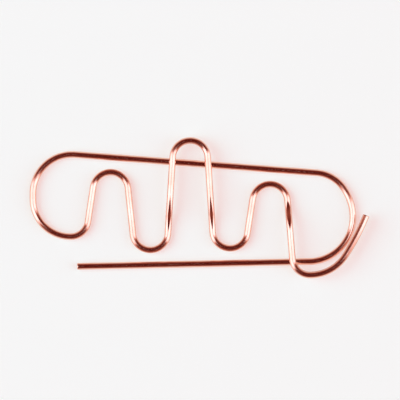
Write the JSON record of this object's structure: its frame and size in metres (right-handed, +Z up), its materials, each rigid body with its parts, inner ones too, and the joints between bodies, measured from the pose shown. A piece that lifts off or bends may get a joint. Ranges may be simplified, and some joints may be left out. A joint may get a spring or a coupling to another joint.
{
  "type": "paper clip",
  "caption": "Springy paper clip of one plated round wire: a long bowed frame, and a tongue bent to a wave of three crests that lifts off it to let paper in between",
  "frame": {"origin": "centre of the bottom of the clip's box, on the surface that the clip lies on", "axes": "+X along the clip from the left bow to the tail, +Y across it from the leg to the rail, +Z up out of the clip's plane, from the frame to the tongue"},
  "size_m": [0.05, 0.0208, 0.0021],
  "materials": {
    "plated_wire": "bright rose copper plating on hard-drawn steel wire"
  },
  "bodies": {
    "leg": {"right_bow_upper": "plated_wire", "right_bow_lower": "plated_wire", "lower_leg": "plated_wire"},
    "frame": {"top_rail": "plated_wire", "left_bow_upper": "plated_wire"},
    "tongue": {"left_bow_lower": "plated_wire", "left_crest_rise": "plated_wire", "left_crest_fall": "plated_wire", "middle_crest_rise": "plated_wire", "middle_crest_fall": "plated_wire", "right_crest_rise": "plated_wire", "right_crest_fall": "plated_wire", "tail": "plated_wire"}
  },
  "joints": [
    {"name": "tongue_lift", "type": "hinge", "parent": "frame", "child": "tongue", "pos_m": [-0.0245, 0.0017, 0.0005], "axis": [0, -1, 0], "range_deg": [0, 12], "stiffness_Nm_per_rad": 0.31},
    {"name": "rail_twist", "type": "hinge", "parent": "leg", "child": "frame", "pos_m": [0.01723, 0.00516, 0.0005], "axis": [-0.9972, 0.075, 0], "range_deg": [0, 12], "stiffness_Nm_per_rad": 0.21}
  ]
}
